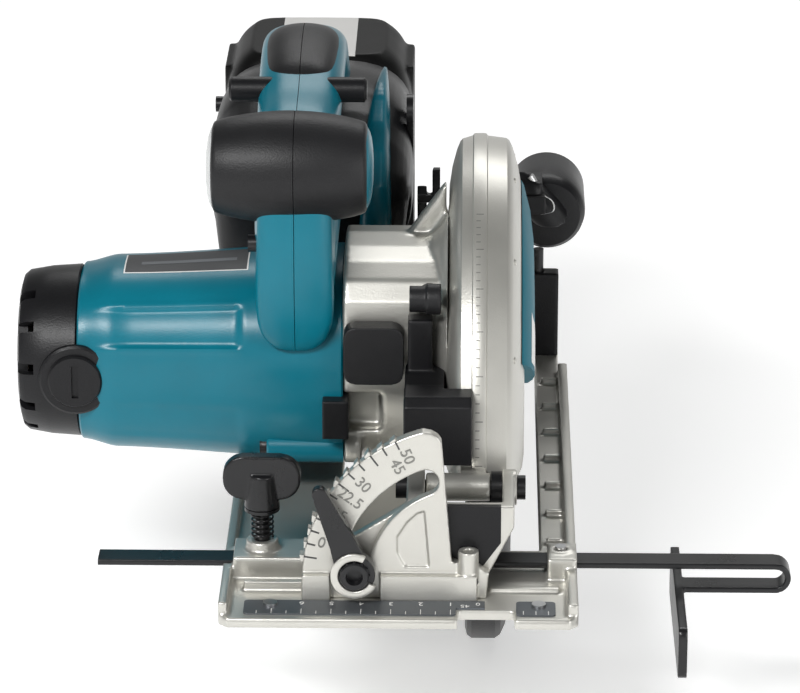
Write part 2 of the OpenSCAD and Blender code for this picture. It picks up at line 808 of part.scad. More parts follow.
base_plate();
bevel_quadrant();
ruler_plate();
base_rivets();
bevel_pivot_pins();
tilt_bracket();
rear_bracket();
depth_guide();
bevel_bolt();
bevel_washer();
depth_pivot_pin();
bevel_lever();
gear_case();
upper_guard();
guard_cover();
motor_housing();
tail_cover();
brush_caps();
carbon_brushes();
stator();
ball_bearings();
handle_left();
handle_right();
front_grip();
grip_inserts();
handle_pad();
switch();
control_board();
battery_terminals();
lamp_housing();
lamp_lens();
chip_cover();
rubber_stop();
housing_screws();
dust_nozzle();
wrench_holder();
hex_wrench();
guard_spring();
spindle();
spur_gear();
blade_flanges();
blade_bolt();
blade();
armature_shaft();
armature_core();
commutator();
fan();
lower_guard();
guard_lever();
trigger();
lock_off();
shaft_lock();
battery_case();
battery_button();
rip_fence();
wing_screw();
wing_washer();
wing_spring();
depth_lever();
depth_bolt();
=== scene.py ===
"""Cordless circular saw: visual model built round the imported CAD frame."""

import json
import math

import bmesh
import bpy
import numpy as np
from mathutils import Matrix, Vector


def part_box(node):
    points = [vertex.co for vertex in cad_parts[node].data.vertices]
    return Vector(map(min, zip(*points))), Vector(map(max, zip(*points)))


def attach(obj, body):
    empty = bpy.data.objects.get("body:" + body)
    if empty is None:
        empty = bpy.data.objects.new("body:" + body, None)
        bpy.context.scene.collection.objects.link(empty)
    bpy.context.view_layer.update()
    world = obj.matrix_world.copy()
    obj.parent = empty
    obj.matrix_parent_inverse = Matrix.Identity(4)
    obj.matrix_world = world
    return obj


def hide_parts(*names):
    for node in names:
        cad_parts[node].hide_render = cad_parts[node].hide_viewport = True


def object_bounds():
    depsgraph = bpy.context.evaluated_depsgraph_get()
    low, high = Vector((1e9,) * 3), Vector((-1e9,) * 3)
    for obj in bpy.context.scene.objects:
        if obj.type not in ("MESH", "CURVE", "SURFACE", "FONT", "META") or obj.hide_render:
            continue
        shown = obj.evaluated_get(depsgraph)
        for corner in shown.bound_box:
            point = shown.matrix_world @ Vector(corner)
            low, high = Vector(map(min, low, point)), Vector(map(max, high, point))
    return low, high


MM = 0.001
SEAM_GAP = 0.12  # half the parting line between two shells, in millimetres
BOX_FACES = [(0, 1, 3, 2), (4, 6, 7, 5), (0, 4, 5, 1), (2, 3, 7, 6), (0, 2, 6, 4), (1, 5, 7, 3)]

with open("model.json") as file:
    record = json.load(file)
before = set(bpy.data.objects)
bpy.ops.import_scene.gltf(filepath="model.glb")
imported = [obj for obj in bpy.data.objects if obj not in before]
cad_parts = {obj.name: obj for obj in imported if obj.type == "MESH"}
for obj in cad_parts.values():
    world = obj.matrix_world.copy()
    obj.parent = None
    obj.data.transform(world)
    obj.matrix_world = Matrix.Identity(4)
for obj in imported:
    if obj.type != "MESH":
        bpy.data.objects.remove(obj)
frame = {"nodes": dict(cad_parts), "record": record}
nodes = frame["nodes"]
cad_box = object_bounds()


# ---------- geometry helpers ----------
def span(node):
    """Lowest and highest corner of a CAD node in millimetres."""
    low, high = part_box(node)
    return np.array(low) / MM, np.array(high) / MM


def middle_of(node):
    """Centre of a CAD node's box in millimetres."""
    low, high = span(node)
    return (low + high) / 2


def make_object(name, verts, faces, smooth=True):
    """A mesh object from vertices in millimetres."""
    mesh = bpy.data.meshes.new(name)
    mesh.from_pydata([tuple(float(c) * MM for c in v) for v in verts], [], faces)
    mesh.update()
    if smooth:
        mesh.shade_smooth()
    obj = bpy.data.objects.new(name, mesh)
    bpy.context.scene.collection.objects.link(obj)
    return obj


def apply_modifiers(obj):
    """Bakes every modifier into the object's mesh."""
    graph = bpy.context.evaluated_depsgraph_get()
    mesh = bpy.data.meshes.new_from_object(obj.evaluated_get(graph))
    old = obj.data
    obj.modifiers.clear()
    obj.data = mesh
    bpy.data.meshes.remove(old)
    return obj


def loft(name, rings, close_ends=True):
    """Joins rings of equal length into one skin."""
    count = len(rings[0])
    verts = [p for ring in rings for p in ring]
    faces = []
    for i in range(len(rings) - 1):
        for j in range(count):
            k = (j + 1) % count
            faces.append((i * count + j, i * count + k, (i + 1) * count + k, (i + 1) * count + j))
    if close_ends:
        faces.append(tuple(reversed(range(count))))
        faces.append(tuple((len(rings) - 1) * count + j for j in range(count)))
    obj = make_object(name, verts, faces)
    fix_normals(obj)
    return obj


def fix_normals(obj):
    """Turns every face outward."""
    bm = bmesh.new()
    bm.from_mesh(obj.data)
    bmesh.ops.recalc_face_normals(bm, faces=bm.faces)
    bm.to_mesh(obj.data)
    bm.free()


def sharpen(obj, degrees=32):
    """Smooth shading with crisp edges above an angle."""
    obj.data.shade_smooth()
    obj.data.set_sharp_from_angle(angle=math.radians(degrees))
    return obj


def lathe(name, profile, origin, axis, steps=96):
    """Turns (along, radius) points about an axis through origin."""
    axis = Vector(axis).normalized()
    side = axis.orthogonal().normalized()
    other = axis.cross(side)
    rings = []
    for i in range(steps):
        a = 2 * math.pi * i / steps
        d = side * math.cos(a) + other * math.sin(a)
        rings.append([Vector(origin) + axis * t + d * r for t, r in profile])
    count = len(profile)
    verts = [p for ring in rings for p in ring]
    faces = []
    for i in range(steps):
        n = (i + 1) % steps
        for j in range(count - 1):
            faces.append((i * count + j, i * count + j + 1, n * count + j + 1, n * count + j))
    obj = make_object(name, verts, faces)
    bm = bmesh.new()
    bm.from_mesh(obj.data)
    bmesh.ops.remove_doubles(bm, verts=bm.verts, dist=1e-6)
    bmesh.ops.holes_fill(bm, edges=bm.edges, sides=0)
    bmesh.ops.recalc_face_normals(bm, faces=bm.faces)
    bm.to_mesh(obj.data)
    bm.free()
    return sharpen(obj)


def ellipsoid(centre, radii, power):
    """Vertices and faces of an ellipsoid; a power below 1 squares it off."""
    bm = bmesh.new()
    bmesh.ops.create_uvsphere(bm, u_segments=40, v_segments=24, radius=1.0)
    verts = []
    for v in bm.verts:
        p = [math.copysign(abs(c) ** power, c) for c in v.co]
        verts.append(Vector(p[i] * radii[i] for i in range(3)) + Vector(centre))
    faces = [tuple(v.index for v in f.verts) for f in bm.faces]
    bm.free()
    return verts, faces


def tube(points, radii, steps=28, squareness=1.0):
    """A closed tube along points; radii holds (half width, half height) pairs, width along X."""
    pts = [Vector(p) for p in points]
    verts = []
    for i, p in enumerate(pts):
        ahead = pts[min(i + 1, len(pts) - 1)] - pts[max(i - 1, 0)]
        ahead.normalize()
        wide = Vector((1, 0, 0))
        tall = ahead.cross(wide).normalized()
        for j in range(steps):
            a = 2 * math.pi * j / steps
            c = math.copysign(abs(math.cos(a)) ** squareness, math.cos(a))
            s = math.copysign(abs(math.sin(a)) ** squareness, math.sin(a))
            verts.append(p + wide * (c * radii[i][0]) + tall * (s * radii[i][1]))
    faces = []
    for i in range(len(pts) - 1):
        for j in range(steps):
            k = (j + 1) % steps
            faces.append((i * steps + j, i * steps + k, (i + 1) * steps + k, (i + 1) * steps + j))
    faces.append(tuple(reversed(range(steps))))
    faces.append(tuple((len(pts) - 1) * steps + j for j in range(steps)))
    return verts, faces


def smooth_path(points, per=6):
    """Catmull-Rom points through the given ones; each may hold any number of values."""
    pts = [np.array(p, float) for p in points]
    out = []
    for i in range(len(pts) - 1):
        p0, p1, p2, p3 = pts[max(i - 1, 0)], pts[i], pts[i + 1], pts[min(i + 2, len(pts) - 1)]
        for k in range(per):
            t = k / per
            out.append(0.5 * (2 * p1 + (p2 - p0) * t + (2 * p0 - 5 * p1 + 4 * p2 - p3) * t * t
                              + (3 * p1 - p0 - 3 * p2 + p3) * t ** 3))
    out.append(pts[-1])
    return out


def path_tube(rows, per=6, steps=28, squareness=0.8):
    """A tube from rows of (x, y, z, half width, half height)."""
    rows = smooth_path(rows, per)
    return tube([r[:3] for r in rows], [(r[3], r[4]) for r in rows], steps, squareness)


def join(parts):
    """Several (vertices, faces) parts as one."""
    verts, faces = [], []
    for part_verts, part_faces in parts:
        base = len(verts)
        verts += list(part_verts)
        faces += [tuple(base + i for i in f) for f in part_faces]
    return verts, faces


def take_part(obj):
    """Turns an object into a (vertices, faces) part and removes it."""
    part = ([v.co / MM for v in obj.data.vertices], [tuple(p.vertices) for p in obj.data.polygons])
    bpy.data.objects.remove(obj)
    return part


def merge(name, parts, voxel, smooth=4):
    """One skin round overlapping closed shapes."""
    obj = make_object(name, *join(parts))
    fix_normals(obj)
    remesh = obj.modifiers.new("skin", "REMESH")
    remesh.mode = "VOXEL"
    remesh.voxel_size = voxel * MM
    soften = obj.modifiers.new("soften", "SMOOTH")
    soften.iterations = smooth
    soften.factor = 0.5
    apply_modifiers(obj)
    obj.data.shade_smooth()
    return obj


def node_parts(*names):
    """Vertices in millimetres and faces of CAD nodes."""
    parts = []
    for name in names:
        mesh = nodes[name].data
        verts = [nodes[name].matrix_world @ v.co / MM for v in mesh.vertices]
        parts.append((verts, [tuple(p.vertices) for p in mesh.polygons]))
    return parts


def cast_copy(name, cad_nodes, voxel, smooth=3, extra=()):
    """A copy of CAD nodes with rounded casting edges, plus extra closed shapes."""
    return merge(name, node_parts(*cad_nodes) + list(extra), voxel, smooth)


def box_part(x0, x1, y0, y1, z0, z1):
    """A plain box as a closed part."""
    return [(x, y, z) for x in (x0, x1) for y in (y0, y1) for z in (z0, z1)], BOX_FACES


def round_part(x0, x1, y, z, r, steps=32):
    """A plain round bar along X as a closed part."""
    turns = [2 * math.pi * i / steps for i in range(steps)]
    verts = [(x, y + r * math.cos(t), z + r * math.sin(t)) for x in (x0, x1) for t in turns]
    faces = [(i, (i + 1) % steps, steps + (i + 1) % steps, steps + i) for i in range(steps)]
    return verts, faces + [tuple(reversed(range(steps))), tuple(range(steps, 2 * steps))]


def prism(y0, y1, outline):
    """Closed part from an (x, z) outline between two y values."""
    n = len(outline)
    verts = [(x, y0, z) for x, z in outline] + [(x, y1, z) for x, z in outline]
    faces = [tuple(range(n)), tuple(range(2 * n - 1, n - 1, -1))]
    faces += [(i, n + i, n + (i + 1) % n, (i + 1) % n) for i in range(n)]
    return verts, faces


def cut(obj, cutter):
    """Takes the cutter's volume from obj."""
    mod = obj.modifiers.new("cut", "BOOLEAN")
    mod.operation = "DIFFERENCE"
    mod.solver = "EXACT"
    mod.object = cutter
    apply_modifiers(obj)
    bpy.data.objects.remove(cutter)
    return obj


def half(obj, name, keep_right):
    """The half of obj on one side of the handle's mid-plane."""
    mesh = obj.data.copy()
    piece = bpy.data.objects.new(name, mesh)
    bpy.context.scene.collection.objects.link(piece)
    bm = bmesh.new()
    bm.from_mesh(mesh)
    side = 1 if keep_right else -1
    geom = list(bm.verts) + list(bm.edges) + list(bm.faces)
    cut_result = bmesh.ops.bisect_plane(bm, geom=geom, plane_co=(side * SEAM_GAP * MM, 0, 0),
                                        plane_no=(side, 0, 0), clear_inner=True)
    edges = [g for g in cut_result["geom_cut"] if isinstance(g, bmesh.types.BMEdge)]
    bmesh.ops.holes_fill(bm, edges=edges, sides=0)
    bm.to_mesh(mesh)
    bm.free()
    return sharpen(piece, 50)


# ---------- materials ----------
def node_tree(name):
    """A new material with an empty Principled shader."""
    mat = bpy.data.materials.new(name)
    mat.use_nodes = True
    tree = mat.node_tree
    tree.nodes.clear()
    out = tree.nodes.new("ShaderNodeOutputMaterial")
    shader = tree.nodes.new("ShaderNodeBsdfPrincipled")
    tree.links.new(shader.outputs[0], out.inputs[0])
    return mat, tree, shader


def surface(name, colour, rough, metallic=0.0, grain=900.0, grain_depth=0.15, mottle=0.08, rough_var=0.08,
            coat=0.0, specular=0.5, streak=None):
    """Colour with soft variation, fine grain bump and uneven roughness, all in object space."""
    mat, tree, shader = node_tree(name)
    link = tree.links.new
    coords = tree.nodes.new("ShaderNodeTexCoord")
    source = coords.outputs["Object"]
    if streak:
        stretch = tree.nodes.new("ShaderNodeMapping")
        stretch.inputs["Scale"].default_value = streak
        link(source, stretch.inputs["Vector"])
        source = stretch.outputs[0]
    broad = tree.nodes.new("ShaderNodeTexNoise")
    broad.inputs["Scale"].default_value = 45.0
    broad.inputs["Detail"].default_value = 5.0
    link(coords.outputs["Object"], broad.inputs["Vector"])
    ramp = tree.nodes.new("ShaderNodeValToRGB")
    low = [max(0.0, c * (1 - mottle)) for c in colour]
    high = [min(1.0, c * (1 + mottle)) for c in colour]
    ramp.color_ramp.elements[0].position = 0.3
    ramp.color_ramp.elements[1].position = 0.7
    ramp.color_ramp.elements[0].color = (*low, 1)
    ramp.color_ramp.elements[1].color = (*high, 1)
    link(broad.outputs[0], ramp.inputs[0])
    link(ramp.outputs[0], shader.inputs["Base Color"])
    fine = tree.nodes.new("ShaderNodeTexNoise")
    fine.inputs["Scale"].default_value = grain
    fine.inputs["Detail"].default_value = 3.0
    link(source, fine.inputs["Vector"])
    rough_range = tree.nodes.new("ShaderNodeMapRange")
    rough_range.inputs["To Min"].default_value = max(0.02, rough - rough_var)
    rough_range.inputs["To Max"].default_value = min(1.0, rough + rough_var)
    link(broad.outputs[0], rough_range.inputs["Value"])
    link(rough_range.outputs[0], shader.inputs["Roughness"])
    bump = tree.nodes.new("ShaderNodeBump")
    bump.inputs["Strength"].default_value = grain_depth
    bump.inputs["Distance"].default_value = 0.0002
    link(fine.outputs[0], bump.inputs["Height"])
    link(bump.outputs[0], shader.inputs["Normal"])
    shader.inputs["Metallic"].default_value = metallic
    shader.inputs["Coat Weight"].default_value = coat
    shader.inputs["Coat Roughness"].default_value = 0.12
    shader.inputs["Specular IOR Level"].default_value = specular
    return mat


def make_materials():
    """The record's slots, and the extra colours that only the visual pieces use."""
    looks = {
        "silver_cast": dict(colour=(0.56, 0.55, 0.51), rough=0.36, metallic=0.75, grain=1500, grain_depth=0.22,
            mottle=0.04, rough_var=0.06),
        "ruler": dict(colour=(0.10, 0.11, 0.12), rough=0.4, metallic=0.5, grain=1200, grain_depth=0.1),
        "steel": dict(colour=(0.55, 0.55, 0.55), rough=0.3, metallic=1.0, grain_depth=0.12, mottle=0.05,
            streak=(6, 1, 1)),
        "blade_steel": dict(colour=(0.36, 0.36, 0.37), rough=0.3, metallic=1.0, grain=700, grain_depth=0.12,
            mottle=0.04),
        "black_steel": dict(colour=(0.008, 0.008, 0.009), rough=0.3, grain=1100, grain_depth=0.12, mottle=0.15,
            specular=0.4),
        "teal_plastic": dict(colour=(0.0, 0.135, 0.19), rough=0.3, grain=1700, grain_depth=0.16, mottle=0.05,
            rough_var=0.05, specular=0.35),
        "teal_matte": dict(colour=(0.0, 0.125, 0.175), rough=0.45, grain=1700, grain_depth=0.16, mottle=0.05,
            rough_var=0.05, specular=0.08),
        "black_plastic": dict(colour=(0.007, 0.007, 0.008), rough=0.38, grain=1700, grain_depth=0.35,
            mottle=0.1, specular=0.26),
        "battery_plastic": dict(colour=(0.004, 0.004, 0.004), rough=0.4, grain=1500, grain_depth=0.25,
            mottle=0.1, rough_var=0.06, specular=0.14),
        "button_red": dict(colour=(0.02, 0.02, 0.021), rough=0.3),
        "rubber": dict(colour=(0.011, 0.011, 0.012), rough=0.44, grain=1500, grain_depth=0.4, mottle=0.1,
            specular=0.28),
        "insert_grey": dict(colour=(0.55, 0.56, 0.56), rough=0.22),
        "carbon": dict(colour=(0.03, 0.03, 0.03), rough=0.7),
        "copper": dict(colour=(0.55, 0.25, 0.12), rough=0.35, metallic=1.0),
        "board": dict(colour=(0.02, 0.12, 0.05), rough=0.5),
        "lens": dict(colour=(0.75, 0.77, 0.78), rough=0.12, coat=0.6),
        "label_white": dict(colour=(0.72, 0.71, 0.69), rough=0.35, grain_depth=0.05, mottle=0.03),
        "label_dark": dict(colour=(0.035, 0.037, 0.04), rough=0.45, grain_depth=0.05, mottle=0.05,
            specular=0.25),
        # mark_grey darkens raised marks; on the quadrant digits this is painted shade of their relief
        "mark_grey": dict(colour=(0.2, 0.2, 0.185), rough=0.45, metallic=0.4),
        "mark_dark": dict(colour=(0.05, 0.05, 0.05), rough=0.5),
    }
    return {name: surface(name, **look) for name, look in looks.items()}


materials = make_materials()
slot_of_node = {s["node"]: s["material_slot"] for s in frame["record"]["subparts"]}
bodies_of = {n: b for b, ns in frame["record"]["behaviour"]["bodies"].items() for n in ns}


def dress(obj, slot, material=None):
    """Gives a piece its material: the one named, else the record slot's."""
    obj.data.materials.clear()
    obj.data.materials.append(materials[material or slot])
    return obj


def stand_for(obj, node, *more, material=None):
    """The piece takes over CAD nodes, riding on their body."""
    dress(obj, slot_of_node[node], material)
    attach(obj, bodies_of[node])
    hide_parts(node, *more)
    return obj


def trim(obj, body, slot, material=None):
    """A small extra piece that rides on a body."""
    dress(obj, slot, material)
    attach(obj, body)
    return obj


# ---------- materials on the CAD nodes ----------
for node_name, node_obj in nodes.items():
    slot_name = slot_of_node[node_name]
    for index in range(max(1, len(node_obj.data.materials))):
        if index < len(node_obj.material_slots):
            node_obj.material_slots[index].material = materials[slot_name]
        else:
            node_obj.data.materials.append(materials[slot_name])

for node_name in ("wing_spring", "wing_washer", "depth_guide"):
    nodes[node_name].material_slots[0].material = materials["black_steel"]


# ---------- motor ----------
MOTOR_LOW, MOTOR_HIGH = span("motor_housing")
_, MOTOR_Y, MOTOR_Z = middle_of("armature_core")
JOINT_X, CASE_X = MOTOR_LOW[0], MOTOR_HIGH[0]
TAIL_X = span("tail_cover")[0][0]


def step(t, low, high):
    """0 below low, 1 above high, smooth between."""
    t = min(1.0, max(0.0, (t - low) / (high - low)))
    return t * t * (3 - 2 * t)


def housing_radius(x, a):
    """Outer radius of the motor housing at x; a is 0 at the front and 90 at the top."""
    base = 31.0 + 2.6 * step(x, JOINT_X, JOINT_X + 13) + 4.7 * step(x, JOINT_X + 5, CASE_X + 10)
    c, s = abs(math.cos(math.radians(a))), abs(math.sin(math.radians(a)))
    square = (c ** 2.5 + s ** 2.5) ** (-1 / 2.5)
    along = step(x, JOINT_X + 3, JOINT_X + 20) * (1 - step(x, -22, -18))
    fold = 0.0
    for edge in (20, 46, 160, 134):
        fold += math.exp(-((a - edge) / 1.8) ** 2)
    panel = step(a, 21, 23.5) * (1 - step(a, 43, 45.5)) + step(a, 134.5, 137) * (1 - step(a, 156.5, 159))
    low = step(a, -40, -34) * (1 - step(a, -18, -12))
    return base * square * 0.985 + along * (0.35 * fold - 1.3 * panel - 0.5 * low)


def motor_point(x, r, a):
    """Point at radius r about the motor shaft; a is 0 at the front and 90 at the top."""
    return x, MOTOR_Y - r * math.cos(math.radians(a)), MOTOR_Z + r * math.sin(math.radians(a))


def make_motor_housing():
    steps, slices, bore_r, inset = 240, 90, 28.4, 0.6
    angles = [-180 + 360 * j / steps for j in range(steps)]
    middle = [JOINT_X + inset + (CASE_X - JOINT_X - 2 * inset) * i / slices for i in range(slices + 1)]
    rings = []
    for x, less in [(JOINT_X, inset)] + [(x, 0.0) for x in middle] + [(CASE_X, inset)]:
        rings.append([motor_point(x, housing_radius(x, a) - less, a) for a in angles])
    bore = [[motor_point(x, bore_r, a) for a in angles] for x in (CASE_X, JOINT_X)]
    shell = loft("motor_shell", rings + bore + [rings[0]], close_ends=False)
    stand_for(sharpen(shell, 40), "motor_housing")


def make_tail_cover():
    """End cap of the motor with its radial vents."""
    length = JOINT_X - TAIL_X
    profile = [(0.2, 0), (0.2, 20), (0.4, 24.5), (1.2, 27.3), (3.0, 28.8), (length * 0.5, 30.2),
               (length - 0.8, 30.9), (length - 0.3, 30.4), (length - 0.3, 26), (length - 4, 26), (4, 24), (4, 0)]
    obj = lathe("tail_shell", profile, (TAIL_X, MOTOR_Y, MOTOR_Z), (1, 0, 0), 128)
    slots = []
    for a in (-62, -36, -6, 24, 50, 76, 104, 130, 156, 186, 216, 242):
        turn = Matrix.Rotation(math.radians(a), 3, "X")
        verts, faces = box_part(TAIL_X - 2, TAIL_X + 6.5, -34, -23.5, -1.9, 1.9)
        verts = [Vector((v[0], MOTOR_Y, MOTOR_Z)) + turn @ Vector((0, v[1], v[2])) for v in verts]
        slots.append((verts, faces))
    cut(obj, make_object("vents", *join(slots), smooth=False))
    sharpen(obj, 32)
    stand_for(obj, "tail_cover")
    ring = lathe("cap_collar", [(0, 10.4), (0, 13.0), (1.4, 12.8), (2.0, 12.0), (2.0, 10.4)],
                 (JOINT_X - 0.6, MOTOR_Y - 29.8, MOTOR_Z), (0, -1, 0), 64)
    trim(ring, "saw_body", "black_plastic")


def make_brush_caps():
    """Slotted screw caps with a bevelled rim, one each side."""
    for side in (-1, 1):
        profile = [(-3, 0), (-3, 9.4), (2.2, 9.6), (3.0, 9.0), (3.0, 0)]
        cap = lathe("brush_cap_%s" % ("front" if side < 0 else "rear"), profile,
                    (JOINT_X - 0.6, MOTOR_Y + side * 30.5, MOTOR_Z), (0, side, 0), 64)
        y0 = MOTOR_Y + side * 32.3
        slot_box = make_object("slot", *box_part(JOINT_X - 1.8, JOINT_X + 0.6, min(y0, y0 + side * 3),
                                                 max(y0, y0 + side * 3), MOTOR_Z - 6, MOTOR_Z + 6), smooth=False)
        cut(cap, slot_box)
        stand_for(sharpen(cap, 32), "brush_caps")


make_motor_housing()
make_tail_cover()
make_brush_caps()


# ---------- handle ----------
def dome_part(x0, x1):
    """Rear housing as one squarish body between two sides."""
    mid, wide = (x0 + x1) / 2, (x1 - x0) / 2
    rows = [(mid, 46, 62, wide * 0.90, 12), (mid, 52, 84, wide * 0.97, 26), (mid, 66, 86, wide, 34),
            (mid, 88, 85, wide, 36), (mid, 112, 83, wide, 33), (mid, 125, 83, wide * 0.99, 31)]
    return path_tube(rows, 5, 40, 0.62)


def make_handle():
    """Handle loop in two shells, the black rear cover and its coloured stripe."""
    bar = path_tube([(0, -50, 82, 13.6, 9.5), (0, -50, 100, 14.0, 10.5), (0, -46, 118, 14.2, 13),
                     (0, -30, 128, 14.4, 13), (0, -8, 133.5, 14.8, 10.8), (0, 14, 138, 15.2, 10.6),
                     (0, 38, 141, 15.4, 9.8), (0, 57, 137.4, 15.4, 9.8), (0, 75, 126, 15.4, 12),
                     (0, 92, 112, 15.6, 14), (0, 100, 92, 15.6, 18)], 6, 36, 0.75)
    lower = path_tube([(0, -52, 88, 14.0, 4), (0, -36, 93, 14.4, 5.5), (0, -10, 95, 14.6, 6), (0, 20, 95, 15, 6),
                       (0, 44, 92, 15.2, 10), (0, 60, 86, 15.4, 18)], 6, 32, 0.7)
    foot = path_tube([(0, -54, 124, 13.0, 6), (0, -56, 108, 13.2, 6), (0, -57, 92, 13.6, 6), (0, -57, 80, 13.8, 5.4),
                      (0, -57, 72, 13.0, 4.4), (0, -56, 66, 10.5, 3.6), (0, -55, 62.5, 6.5, 2.4)], 6, 32, 0.7)
    whole = merge("handle_whole", [bar, lower, foot], 1.0, 6)
    stand_for(half(whole, "handle_shell_left", False), "handle_left")
    stand_for(half(whole, "handle_shell_right", True), "handle_right")
    bpy.data.objects.remove(whole)
    low, high = span("handle_left")[0][0], span("handle_right")[1][0]
    dome = merge("dome_whole", [dome_part(low + 0.4, high - 0.4)], 1.2, 3)
    trim(half(dome, "rear_cover_left", False), "saw_body", "black_plastic")
    trim(half(dome, "rear_cover_right", True), "saw_body", "black_plastic")
    bpy.data.objects.remove(dome)
    stripe = merge("rear_stripe_skin", [path_tube([(25, 45.5, 60, 7.5, 12), (26, 49.4, 82, 6.2, 26.4),
                                                   (27, 62, 86, 4.6, 34.6), (28, 80, 86.6, 2.6, 36.2),
                                                   (28.6, 96, 86, 0.8, 34)], 5, 32, 0.6)], 1.0, 3)
    trim(stripe, "saw_body", "teal_plastic")


def make_front_grip():
    """Barrel-shaped grip in two halves with an insert at each end."""
    low, high = span("front_grip")
    _, y, z = middle_of("front_grip")
    length = high[0] - low[0]
    end_r, swell, steps = 15.0, 4.7, 24
    barrel = [(length * i / steps, end_r + swell * math.sin(math.pi * i / steps) ** 0.8)
              for i in range(3, steps - 2)]
    start = [(2.2, 0), (2.2, 14.0), (2.8, 15.8)]
    profile = start + barrel + [(length - t, r) for t, r in reversed(start)]
    grip = merge("grip_whole", [take_part(lathe("grip_core", profile, (low[0], y, z), (1, 0, 0), 96))], 0.9, 4)
    stand_for(half(grip, "front_grip_right", True), "front_grip")
    trim(half(grip, "front_grip_left", False), "saw_body", "rubber")
    bpy.data.objects.remove(grip)
    pale = merge("grip_end_left", [ellipsoid((low[0] + 4.0, y, z), (3.9, 13.8, 14.6), 0.8)], 0.6, 2)
    stand_for(pale, "grip_inserts")
    blue = merge("grip_end_right", [ellipsoid((high[0] - 4.0, y, z), (3.9, 13.6, 14.4), 0.8)], 0.6, 2)
    trim(blue, "saw_body", "teal_plastic")


def make_handle_pad():
    """Grained rubber saddle over the top of the handle."""
    rows = [(0, 0, 139.2, 9.5, 6.6), (0, 6, 140.6, 12.4, 8.4), (0, 20, 143.2, 13.4, 8.2), (0, 38, 144.6, 13.8, 7.6),
            (0, 54, 141.0, 13.4, 7.4), (0, 66, 135.4, 11.4, 7.2), (0, 74, 129.6, 8.0, 7.0)]
    pad = merge("saddle_whole", [path_tube(rows, 6, 36, 0.92)], 0.8, 4)
    stand_for(half(pad, "saddle_pad_right", True), "handle_pad")
    trim(half(pad, "saddle_pad_left", False), "saw_body", "rubber")
    bpy.data.objects.remove(pad)


make_handle()
make_front_grip()
make_handle_pad()


# ---------- guards and gear case ----------
ARBOR_Y, ARBOR_Z = 0.0, middle_of("blade_flanges")[2]
GUARD_HIGH = span("upper_guard")[1]
GUARD_X0, GUARD_X1, GUARD_R = 52.5, GUARD_HIGH[0], GUARD_HIGH[2] - ARBOR_Z


def sweep(name, profile, a0, a1, steps):
    """Turns closed (x, radius) profile about the arbor from angle a0 to a1."""
    rings = []
    for i in range(steps + 1):
        a = math.radians(a0 + (a1 - a0) * i / steps)
        rings.append([(x, ARBOR_Y + r * math.cos(a), ARBOR_Z + r * math.sin(a)) for x, r in profile])
    return loft(name, rings)


def guard_profile():
    """Cross-section of the upper guard: flank, shoulder, crowned rim with its raised band, flank."""
    outer = [(GUARD_X0, 40), (GUARD_X0, 62), (GUARD_X0 + 0.6, 74), (GUARD_X0 + 1.8, 82), (GUARD_X0 + 3.4, 88),
             (GUARD_X0 + 4.6, 91.0), (GUARD_X0 + 5.6, 92.0), (GUARD_X0 + 9.2, 93.1), (GUARD_X0 + 9.6, 93.8),
             (GUARD_X0 + 10.4, GUARD_R), (GUARD_X0 + 13.4, GUARD_R), (GUARD_X0 + 14.2, 93.8),
             (GUARD_X0 + 14.6, 93.1), (GUARD_X1 - 6.6, 92.2), (GUARD_X1 - 5.6, 91.4), (GUARD_X1 - 4.4, 89),
             (GUARD_X1 - 2.4, 82), (GUARD_X1 - 1.0, 74), (GUARD_X1 - 0.3, 62), (GUARD_X1, 40)]
    inner = [(GUARD_X1 - 1.8, 40), (GUARD_X1 - 1.8, 62), (GUARD_X1 - 2.6, 74), (GUARD_X1 - 4.2, 82),
             (GUARD_X1 - 6.0, 88.4), (GUARD_X1 - 7.4, 90.6), (GUARD_X0 + 6.4, 90.6), (GUARD_X0 + 4.8, 88),
             (GUARD_X0 + 3.4, 82), (GUARD_X0 + 2.4, 74), (GUARD_X0 + 2.0, 62), (GUARD_X0 + 2.0, 40)]
    return outer + inner


